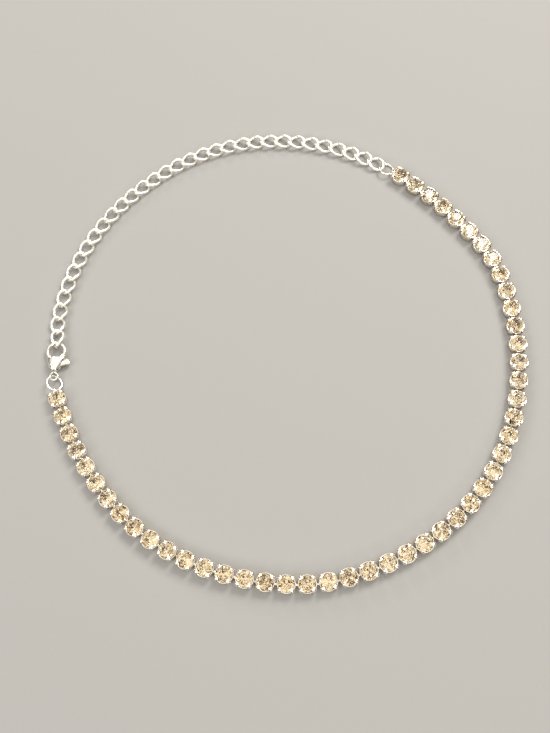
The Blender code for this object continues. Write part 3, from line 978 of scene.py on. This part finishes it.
@dataclass
class StoneRow:
    """One strand of set stones: crystals, cups, bridges and the end cup's staple.

    staple_side is -1 for a staple before the first cup, to the chain's ring, and
    1 for one after the last cup, to the clasp's.
    """

    sizes: Sizes
    loop: Loop
    side: str
    first: int
    last: int
    staple_side: int
    bridges_after_last: bool
    seed: int
    stone_rise: float = 0.0001
    most_tilt: float = radians(2.5)
    tilt_heading: float = 6.0
    rim_swell: float = 0.00005
    bridge_width: float = 0.0006
    bridge_height: float = 0.0004
    bridge_floor: float = 0.0002
    bridge_overlap: float = 0.0005
    bridge_bevel: float = 0.00012
    staple_wire: float = 0.0004
    staple_sink: float = 0.00025
    staple_steps: int = 8
    staple_sides: int = 12
    staple_roundness: float = 0.9

    @property
    def node(self) -> str:
        """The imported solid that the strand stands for."""
        return f"crystal_strand_{self.side}"

    def places(self) -> list[Matrix]:
        """Places of the cups.

        Returns:
            Frame of each cup, on the table.
        """
        s = self.sizes
        marks = [number * s.stone_pitch for number in range(self.first, self.last + 1)]
        half = s.cup_radius
        return [self.loop.place(mark - half, mark + half, 0.0) for mark in marks]

    def crystals(self, finishes: Sequence[bpy.types.Material]) -> None:
        """Make the cut stones, each turned and tipped a little in its cup.

        Args:
            finishes: Finish of the crowns and of the backs.
        """
        s = self.sizes
        stone = CutStone(s.stone_radius, s.cup_height + self.stone_rise).mesh()
        chance = random.Random(self.seed)
        bm = bmesh.new()
        facet_tone = bm.faces.layers.float.new("facet_tone")
        stone_tone = bm.faces.layers.float.new("stone_tone")
        for place in self.places():
            turn = Matrix.Rotation(chance.uniform(0, 2 * pi), 4, "Z")
            seat = Matrix.Translation((0, 0, s.cup_height))
            lean = chance.uniform(0, self.most_tilt)
            axis = Vector((cos(chance.uniform(0, self.tilt_heading)), 1, 0))
            tip = seat @ Matrix.Rotation(lean, 4, axis) @ seat.inverted()
            tone = chance.random()
            for face in add_copy(bm, stone, place @ tip @ turn):
                # Each facet's random share picks between the foil's own cream and painted dark
                # reflection.
                face[facet_tone] = chance.random()
                face[stone_tone] = tone
        bpy.data.meshes.remove(stone)
        mesh = to_mesh(f"crystals_{self.side}", bm)
        show(mesh, finishes, self.node, shading=Shading.FACETED)

    def bridge(self, bm: bmesh.types.BMesh, place: Matrix) -> None:
        """Add the soldered tab between a cup and the next one.

        Args:
            bm: Mesh that the tab is added to.
            place: Frame midway between the cups.
        """
        length = self.sizes.cup_gap + self.bridge_overlap
        size = Matrix.Diagonal((length, self.bridge_width, self.bridge_height, 1))
        lift = Matrix.Translation((0, 0, self.bridge_floor + self.bridge_height / 2))
        made = bmesh.ops.create_cube(bm, size=1.0, matrix=place @ lift @ size)
        edges = list({edge for vert in made["verts"] for edge in vert.link_edges})
        bmesh.ops.bevel(
            bm, geom=edges, offset=self.bridge_bevel, offset_type="OFFSET", segments=2,
            profile=0.5, affect="EDGES", material=-1,
        )

    def staple(self, bm: bmesh.types.BMesh, place: Matrix, level: float, tilt: float) -> None:
        """Add the wire staple that a jump ring passes through.

        Args:
            bm: Mesh that the staple is added to.
            place: Frame of the end cup.
            level: Height of the jump ring.
            tilt: Lean of the jump ring.
        """
        s = self.sizes
        reach = s.cup_radius + 2 * s.ring_gap + s.ring_wire + self.staple_wire / 2
        half = ((s.ring_wire + self.staple_wire) / 2 + s.ring_gap) / cos(tilt)
        root = s.cup_radius - self.staple_sink
        bend = [radians(90 * step / self.staple_steps) for step in range(self.staple_steps + 1)]
        round_off = half * self.staple_roundness
        line = [(root, -half)]
        line += [
            (reach - round_off * (1 - sin(turn)), -half + round_off * (1 - cos(turn)))
            for turn in bend
        ]
        line += [(x, -z) for x, z in reversed(line)]
        points = [place @ Vector((self.staple_side * x, 0, level + z)) for x, z in line]
        across = place.to_3x3() @ Vector((0, 1, 0))
        wire(bm, points, self.staple_wire, self.staple_sides, up=across)

    def cups(self, finish: bpy.types.Material) -> None:
        """Make the cups with their claws, the tabs between them and the end staple.

        Args:
            finish: The plating.
        """
        s = self.sizes
        cup = ClawCup(s.cup_radius + self.rim_swell, s.cup_height, s.stone_radius).mesh()
        bm = bmesh.new()
        for place in self.places():
            add_copy(bm, cup, place)
        bpy.data.meshes.remove(cup)
        for number in range(self.first, self.last + self.bridges_after_last):
            mark = (number + 0.5) * s.stone_pitch
            self.bridge(bm, self.loop.place(mark - s.cup_gap, mark + s.cup_gap, 0.0))
        if self.staple_side < 0:
            self.staple(bm, self.places()[0], s.ring_level(s.chain_ring_tilt), s.chain_ring_tilt)
        else:
            self.staple(bm, self.places()[-1], s.clasp_level, s.clasp_ring_tilt)
        show(to_mesh(f"cups_{self.side}", bm), [finish], self.node)


@dataclass
class JumpRing:
    """Round wire ring, bent shut with a cut seam whose ends lie a little past each other."""

    sizes: Sizes
    loop: Loop
    node: str
    mark: float
    level: float
    tilt: float
    seam_heading: float
    seam_gap: float
    seam_offset: float
    bent_share: float = 0.25
    steps: int = 72
    sides: int = 14

    def place(self) -> Matrix:
        """Place of the ring.

        Returns:
            Its frame, leaning about the line of the loop.
        """
        half = self.sizes.ring_radius
        frame = self.loop.place(self.mark - half, self.mark + half, self.level)
        return frame @ Matrix.Rotation(self.tilt, 4, "X")

    def build(self, finish: bpy.types.Material) -> None:
        """Make the ring.

        Args:
            finish: The plating.
        """
        place = self.place()
        radius = self.sizes.ring_radius
        heading = atan2(place[1][0], place[0][0])
        start = self.seam_heading - heading + self.seam_gap / 2 / radius
        span = 2 * pi - self.seam_gap / radius
        points = []
        for step in range(self.steps + 1):
            share = step / self.steps
            turn = start + span * share
            bent = max(0.0, share - 1 + self.bent_share) - max(0.0, self.bent_share - share)
            offset = self.seam_offset * bent / self.bent_share
            points.append(place @ Vector((radius * cos(turn), radius * sin(turn), offset / 2)))
        bm = bmesh.new()
        wire(bm, points, self.sizes.ring_wire, self.sides, up=place.to_3x3() @ UP)
        show(to_mesh(f"{self.node}_wire", bm), [finish], self.node)


@dataclass
class CurbChain:
    """Extension chain: twisted oval links of round wire, each with a butted joint."""

    sizes: Sizes
    marks: Marks
    loop: Loop
    node: str = "extension_chain"
    wire_diameter: float = 0.00093
    lift: float = 0.00010
    steps: int = 48
    sides: int = 12
    joint_depth: float = 0.90
    joint_width: float = 0.00006

    def link(self, roll: float) -> bpy.types.Mesh:
        """Make one link, long enough to rest on its neighbours' wire.

        Args:
            roll: Turn of the link about its length.

        Returns:
            The link's mesh, in its own frame.
        """
        s = self.sizes
        stretch = (s.link_pitch + self.wire_diameter) / 2 - s.link_half_length
        turns = turns_round(self.steps)
        joint = [-self.joint_width, 0.0, self.joint_width]
        middle = self.steps // 4
        turns[middle:middle + 1] = [pi / 2 + side / s.link_half_length for side in joint]
        points = [s.link_point(turn, roll, stretch) for turn in turns]
        half = self.wire_diameter / 2
        halves = [(half, half)] * len(points)
        halves[middle + 1] = (half * self.joint_depth, half * self.joint_depth)
        bm = bmesh.new()
        tube(bm, frames_along(points, halves, closed=True), self.sides, closed=True)
        return to_mesh("curb_link", bm)

    def build(self, clasp_place: Matrix, finish: bpy.types.Material) -> None:
        """Make the chain, from the link in the clasp to the one on the jump ring.

        Args:
            clasp_place: Frame of the clasp.
            finish: The plating.
        """
        s = self.sizes
        low = s.link_level(0.0) + self.lift
        rise = s.clasp_level - low
        levels = [low + rise * max(0.0, 1 - n / s.climb_links) ** 2 for n in range(s.link_count)]
        levels.append(low)
        bm = bmesh.new()
        held = self.link(s.hooked_roll)
        reach = Matrix.Translation((0, s.hook_top + s.hooked_reach, 0))
        add_copy(bm, held, clasp_place @ reach @ QUARTER)
        link = self.link(0.0)
        for number in range(1, s.link_count):
            mark = self.marks.last_link + number * s.link_pitch
            half = s.link_pitch / 2
            climb = levels[number + 1] - levels[number]
            add_copy(bm, link, self.loop.place(mark - half, mark + half, levels[number], climb))
        bpy.data.meshes.remove(held)
        bpy.data.meshes.remove(link)
        show(to_mesh("curb_links", bm), [finish], self.node)


@dataclass
class LobsterClasp:
    """Cast lobster clasp: eye, slotted body and hook, and a lever on a rivet.

    sections are the body's cross sections from the eye to the hook's hole: place
    as a share of that way, half width as a share of the hook's width, and half
    thickness as a share of the clasp's. hub_turns are the degrees round the
    lever's hub where its edge is bare. tab_outline goes from the thumb tab's
    underside round its tip to the top of its root: way in from the tip as a share
    of the tab's length, and level as a share of its height.
    """

    sizes: Sizes
    place: Matrix
    grain: float = 0.00007
    lever_grain: float = 0.00006
    polish_rounds: int = 9
    loft_sides: int = 28
    loft_steps: int = 4
    arm_steps: int = 40
    arm_sides: int = 20
    circle_steps: int = 48
    eye_sides: int = 16
    cutter_reach: float = 0.006
    hook_root: float = radians(-58.0)
    seam_slope: float = radians(42.0)
    seam_gap: float = 0.00012
    slot_gap: float = 0.00015
    slot_start: float = 0.0018
    slot_shoulder_x: float = 0.0010
    slot_top_x: float = 0.0006
    shoulder: float = 0.00495
    hole_relief: float = 0.00016
    lever_thickness: float = 0.00106
    lever_hub: float = 0.00105
    hub_turns: Sequence[int] = range(60, 311, 10)
    gate_root: float = radians(232.0)
    heel_turns: tuple[float, float] = (radians(222), radians(230))
    heel_depth: float = 0.98
    pivot: tuple[float, float] = (-0.0007, 0.0033)
    rivet_radius: float = 0.00045
    rivet_rise: float = 0.00012
    rivet_seat: float = 0.985
    rivet_sides: int = 24
    rivet_rings: int = 10
    tab_tip: float = 0.00451
    tab_floor: float = 0.0034
    tab_length: float = 0.0017
    tab_height: float = 0.0019
    tab_outline: tuple[tuple[float, float], ...] = (
        (0.95, 0.03), (0.48, 0.08), (0.065, 0.115), (0.0, 0.24), (0.035, 0.42), (0.12, 0.605),
        (0.29, 0.84), (0.48, 0.96), (0.65, 0.98), (0.83, 0.895), (1.0, 0.69),
    )
    sections: tuple[tuple[float, float, float], ...] = (
        (-0.02, 0.080, 0.14), (0.080, 0.125, 0.27), (0.165, 0.180, 0.38), (0.320, 0.270, 0.47),
        (0.540, 0.350, 0.50), (0.780, 0.415, 0.50), (0.955, 0.455, 0.43), (1.090, 0.474, 0.34),
        (1.250, 0.480, 0.235), (1.420, 0.485, 0.14),
    )

    def hook_point(self, angle: float, inset: float = 0.0) -> Vector:
        """Point of the hook's oval.

        Args:
            angle: Direction from the oval's middle, anticlockwise from +X.
            inset: How far it is moved in from the middle of the wire.

        Returns:
            The point in the clasp's frame.
        """
        s = self.sizes
        return Vector((
            (s.hook_half_width - inset) * cos(angle),
            s.hook_centre + (s.hook_half_height - inset) * sin(angle),
            0.0,
        ))

    def section_at(self, part: float) -> Matrix:
        """Cross section of the body, smoothly between the listed ones.

        Args:
            part: Place in the list, from 0 to the number of sections less one.

        Returns:
            Frame scaled to the section's half sizes.
        """
        s = self.sizes
        last = len(self.sections) - 1
        low = min(int(part), last - 1)
        near = [self.sections[min(max(low + shift, 0), last)] for shift in (-1, 0, 1, 2)]
        t = part - low
        along, width, thickness = (
            0.5 * (
                2 * b + (c - a) * t + (2 * a - 5 * b + 4 * c - d) * t ** 2
                + (3 * b - a - 3 * c + d) * t ** 3
            )
            for a, b, c, d in zip(*near)
        )
        hole_start = s.hook_centre - s.hook_half_height + s.hook_wire / 2
        level = s.eye_radius + along * (hole_start - s.eye_radius)
        hook_width = 2 * s.hook_half_width + s.hook_wire
        size = Matrix.Diagonal((1, hook_width * width, s.clasp_thickness * thickness, 1))
        return Matrix.Translation((0, level, 0)) @ QUARTER @ size

    def seam(self, side: int) -> tuple[Vector, Vector]:
        """Point and normal of the seam's slanted face on the hook's side, 1, or the gate's, -1."""
        normal = Vector((-sin(self.seam_slope), cos(self.seam_slope), 0))
        return self.hook_point(pi) + normal * side * self.seam_gap / 2, normal

    def arm(self, bm: bmesh.types.BMesh, start: float, side: int, depth: float) -> None:
        """Add a stretch of the hook's oval that ends flat on the seam.

        Args:
            bm: Mesh that the stretch is added to.
            start: Angle where it is rooted.
            side: Which side of the seam it is on, as in seam.
            depth: Its thickness, up and down.
        """
        steps = self.arm_steps
        turns = [start + (pi - start) * step / steps for step in range(steps + 1)]
        points = [self.hook_point(turn) for turn in turns]
        sizes = [(self.sizes.hook_wire / 2, depth / 2)] * len(points)
        last = tube(bm, frames_along(points, sizes), self.arm_sides)[-1]
        point, normal = self.seam(side)
        for vert in last:
            vert.co.y += (point - vert.co).dot(normal) / normal.y

    def plate(
        self, name: str, outline: Sequence[Sequence[float]], half_thickness: float
    ) -> bpy.types.Mesh:
        """Level plate with an outline, in the middle of the clasp.

        Args:
            name: Name of its mesh.
            outline: Corners from above.
            half_thickness: Half of its thickness.

        Returns:
            The plate's mesh.
        """
        bm = bmesh.new()
        face = bm.faces.new([bm.verts.new((x, y, -half_thickness)) for x, y in outline])
        solid = bmesh.ops.extrude_face_region(bm, geom=[face], use_keep_orig=True)
        top = [item for item in solid["geom"] if isinstance(item, bmesh.types.BMVert)]
        bmesh.ops.translate(bm, verts=top, vec=(0, 0, 2 * half_thickness))
        return to_mesh(name, bm)

    def cutters(self) -> list[bpy.types.Mesh]:
        """Make what is cut out of the body.

        Returns:
            The lever's slot, the open side over its gate, and the hook's hole.
        """
        s = self.sizes
        far = self.cutter_reach
        top = s.hook_centre
        slot = [
            (-far, self.slot_start), (far, self.slot_start), (far, self.shoulder),
            (self.slot_shoulder_x, self.shoulder), (self.slot_top_x, top), (-far, top),
        ]
        inset = s.hook_wire / 2 - self.hole_relief
        hole = [self.hook_point(turn, inset).xy for turn in turns_round(self.circle_steps)]
        floor = min(point.y for point in hole)
        cheek = [(-far, floor), (0.0, floor), (0.0, top), (-far, top)]
        return [
            self.plate("lever_slot", slot, self.lever_thickness / 2 + self.slot_gap),
            self.plate("lever_side", cheek, s.clasp_thickness),
            self.plate("hook_hole", hole, s.clasp_thickness),
        ]

    def body(self, finish: bpy.types.Material) -> None:
        """Make the cast body with its eye, hook and rivet heads.

        Args:
            finish: The plating.
        """
        s = self.sizes
        bm = bmesh.new()
        steps = self.loft_steps
        count = (len(self.sections) - 1) * steps
        tube(bm, [self.section_at(step / steps) for step in range(count + 1)], self.loft_sides)
        bm = reopened(carve("clasp_shell", to_mesh("shell", bm), self.cutters()))
        self.arm(bm, self.hook_root, 1, s.hook_depth)
        turns = turns_round(self.circle_steps)
        eye = [Vector((s.eye_radius * cos(turn), s.eye_radius * sin(turn), 0)) for turn in turns]
        wire(bm, eye, s.eye_wire, self.eye_sides, closed=True)
        joined = to_mesh("clasp_joined", bm)
        bm = reopened(cast("clasp_melt", joined, self.grain, self.polish_rounds))
        dome = Matrix.Diagonal((self.rivet_radius, self.rivet_radius, self.rivet_rise, 1))
        for side in (1, -1):
            seat = Matrix.Translation((*self.pivot, side * s.clasp_thickness / 2 * self.rivet_seat))
            bmesh.ops.create_uvsphere(
                bm, u_segments=self.rivet_sides, v_segments=self.rivet_rings, radius=1.0,
                matrix=seat @ dome,
            )
        bm.transform(self.place)
        show(to_mesh("clasp_casting", bm), [finish], "clasp_body")

    def lever(self, finish: bpy.types.Material) -> None:
        """Make the lever with its gate, hub and thumb tab.

        Args:
            finish: The plating.
        """
        pivot = Vector((*self.pivot, 0))
        half = self.lever_thickness / 2
        arc = [radians(turn) for turn in self.hub_turns]
        outline = [
            (pivot.x + self.lever_hub * cos(turn), pivot.y + self.lever_hub * sin(turn))
            for turn in arc
        ]
        outline += [
            (self.tab_tip - inward * self.tab_length, self.tab_floor + level * self.tab_height)
            for inward, level in self.tab_outline
        ]
        bm = reopened(self.plate("hub_plate", outline, half))
        self.arm(bm, self.gate_root, -1, self.lever_thickness)
        heel = [*(self.hook_point(turn) for turn in self.heel_turns), pivot]
        size = (self.sizes.hook_wire / 2, half * self.heel_depth)
        tube(bm, frames_along(heel, [size] * len(heel)), self.arm_sides)
        joined = to_mesh("lever_joined", bm)
        mesh = cast("clasp_lever_casting", joined, self.lever_grain, self.polish_rounds)
        mesh.transform(self.place)
        show(mesh, [finish], "clasp_lever", LEVER_BODY)


@dataclass(frozen=True)
class Lamp:
    """Square soft light that faces the necklace: its place, side, watts and colour."""

    name: str
    place: tuple[float, float, float]
    size: float
    power: float
    colour: tuple[float, float, float]

    def hang(self) -> None:
        """Hang the light."""
        light = bpy.data.lights.new(self.name, "AREA")
        light.shape = "SQUARE"
        light.size = self.size
        light.energy = self.power
        light.color = self.colour
        lamp = put(self.name, light)
        lamp.location = self.place
        lamp.rotation_euler = (-Vector(self.place)).to_track_quat("-Z", "Y").to_euler()


@dataclass
class Studio:
    """Pale floor, soft lights, a room to reflect, and the camera at the photograph's angle.

    sky goes from the horizon to overhead; its dark band is what the facets and
    the wires pick out. focal_pixels is the lens for the picture's long side.
    """

    target: Vector = field(default_factory=lambda: Vector((-0.00362, -0.00616, 0.0)))
    distance: float = 0.2616
    elevation: float = radians(70.11)
    azimuth: float = radians(1.66)
    roll: float = radians(-6.43)
    focal_pixels: float = 900.0
    long_side_pixels: float = 733.0
    sensor: float = 36.0
    near_clip: float = 0.01
    floor_half: float = 3.0
    floor_drop: float = 0.00001
    lamps: tuple[Lamp, ...] = (
        Lamp("key_light", (0.42, 0.38, 0.62), 0.34, 5.5, (1.0, 0.955, 0.89)),
        Lamp("fill_light", (-0.60, -0.25, 0.55), 0.45, 2.2, (0.97, 0.98, 1.0)),
        Lamp("back_light", (-0.20, 0.75, 0.40), 0.20, 2.0, (1.0, 0.97, 0.93)),
        Lamp("front_light", (0.25, -0.70, 0.45), 0.16, 1.2, (1.0, 0.94, 0.86)),
    )
    sky_strength: float = 1.25
    sky: tuple[tuple[float, tuple[float, float, float]], ...] = (
        (0.0, (0.55, 0.54, 0.52)), (0.12, (0.40, 0.39, 0.37)), (0.24, (0.09, 0.08, 0.07)),
        (0.42, (0.10, 0.09, 0.08)), (0.58, (0.72, 0.69, 0.64)), (1.0, (1.0, 0.97, 0.91)),
    )

    def floor(self, finish: bpy.types.Material) -> None:
        """Lay the floor just under the necklace.

        Args:
            finish: The floor's finish.
        """
        bm = bmesh.new()
        bmesh.ops.create_grid(bm, x_segments=4, y_segments=4, size=self.floor_half)
        bmesh.ops.translate(bm, verts=bm.verts, vec=-UP * self.floor_drop)
        mesh = to_mesh("floor", bm)
        mesh.materials.append(finish)
        put("floor", mesh)

    def room(self) -> None:
        """Light the room behind the camera, by height above the horizon."""
        graph = Graph(bpy.data.worlds.new("room"), "ShaderNodeOutputWorld")
        heading = graph.node("ShaderNodeTexCoord", {}, {}, "Generated")
        height = graph.node("ShaderNodeSeparateXYZ", {}, {"Vector": heading}, "Z")
        inputs = {"Color": graph.ramp(height, *self.sky), "Strength": self.sky_strength}
        sky = graph.node("ShaderNodeBackground", {}, inputs, "Background")
        bpy.context.scene.world = graph.close(sky)
        bpy.context.scene.view_settings.view_transform = "Standard"

    def camera(self) -> None:
        """Stand the camera where the photograph was taken from."""
        back = Vector((
            -sin(self.azimuth) * cos(self.elevation),
            -cos(self.azimuth) * cos(self.elevation),
            sin(self.elevation),
        ))
        right = Vector((cos(self.azimuth), -sin(self.azimuth), 0))
        up = back.cross(right)
        tilted_right = right * cos(self.roll) + up * sin(self.roll)
        tilted_up = up * cos(self.roll) - right * sin(self.roll)
        lens = bpy.data.cameras.new("camera")
        lens.sensor_width = self.sensor
        lens.lens = self.focal_pixels * self.sensor / self.long_side_pixels
        lens.clip_start = self.near_clip
        camera = put("camera", lens)
        turn = Matrix((tilted_right, tilted_up, back)).transposed().to_4x4()
        camera.matrix_world = Matrix.Translation(self.target + back * self.distance) @ turn
        bpy.context.scene.camera = camera

    def build(self, finish: bpy.types.Material) -> None:
        """Set the whole studio up.

        Args:
            finish: The floor's finish.
        """
        self.floor(finish)
        for lamp in self.lamps:
            lamp.hang()
        self.room()
        self.camera()


def settled_loop(sizes: Sizes, marks: Marks) -> Loop:
    """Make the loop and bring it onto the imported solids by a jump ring's middle.

    Args:
        sizes: The shared sizes.
        marks: Places along the loop.

    Returns:
        The loop.
    """
    loop = Loop(marks.length)
    low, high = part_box("chain_jump_ring")
    half = sizes.ring_radius
    ring = loop.place(marks.chain_ring - half, marks.chain_ring + half, 0.0).translation
    loop.settle = Vector((*((low + high) / 2 - ring).xy, 0.0))
    return loop


def main() -> None:
    """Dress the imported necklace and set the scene."""
    logging.basicConfig(level=logging.INFO, format="%(name)s: %(message)s")
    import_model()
    sizes = Sizes()
    marks = Marks(sizes)
    loop = settled_loop(sizes, marks)
    plating = SilverPlate("silver_plate").material()
    cast_plating = SilverPlate("cast_plate", polish=0.20, scratch_scale=3800.0).material()
    cup_plating = SilverPlate(
        "cup_plate", clean=(0.97, 0.92, 0.83), film=(0.66, 0.52, 0.36), polish=0.16
    ).material()
    chain_plating = SilverPlate("chain_plate", film=(0.90, 0.84, 0.74), polish=0.34).material()
    stone_finishes = [CutGlass().material(), FoilBack().material()]
    half = sizes.stone_count // 2
    rows = [
        StoneRow(
            sizes, loop, "right", first=0, last=half - 1, staple_side=-1,
            bridges_after_last=True, seed=11,
        ),
        StoneRow(
            sizes, loop, "left", first=half, last=sizes.stone_count - 1, staple_side=1,
            bridges_after_last=False, seed=29,
        ),
    ]
    for row in rows:
        row.crystals(stone_finishes)
        row.cups(cup_plating)
    JumpRing(
        sizes, loop, "chain_jump_ring", marks.chain_ring, sizes.ring_level(sizes.chain_ring_tilt),
        sizes.chain_ring_tilt, seam_heading=radians(-58.0), seam_gap=0.00010, seam_offset=0.00010,
    ).build(plating)
    JumpRing(
        sizes, loop, "clasp_jump_ring", marks.clasp_ring, sizes.clasp_level,
        sizes.clasp_ring_tilt, seam_heading=radians(124.0), seam_gap=0.00030, seam_offset=0.00035,
    ).build(plating)
    clasp = LobsterClasp(sizes, loop.place_clasp(sizes, marks))
    CurbChain(sizes, marks, loop).build(clasp.place, chain_plating)
    clasp.body(cast_plating)
    clasp.lever(cast_plating)
    Studio().build(PaleFloor().material())


if __name__ == "__main__":
    main()
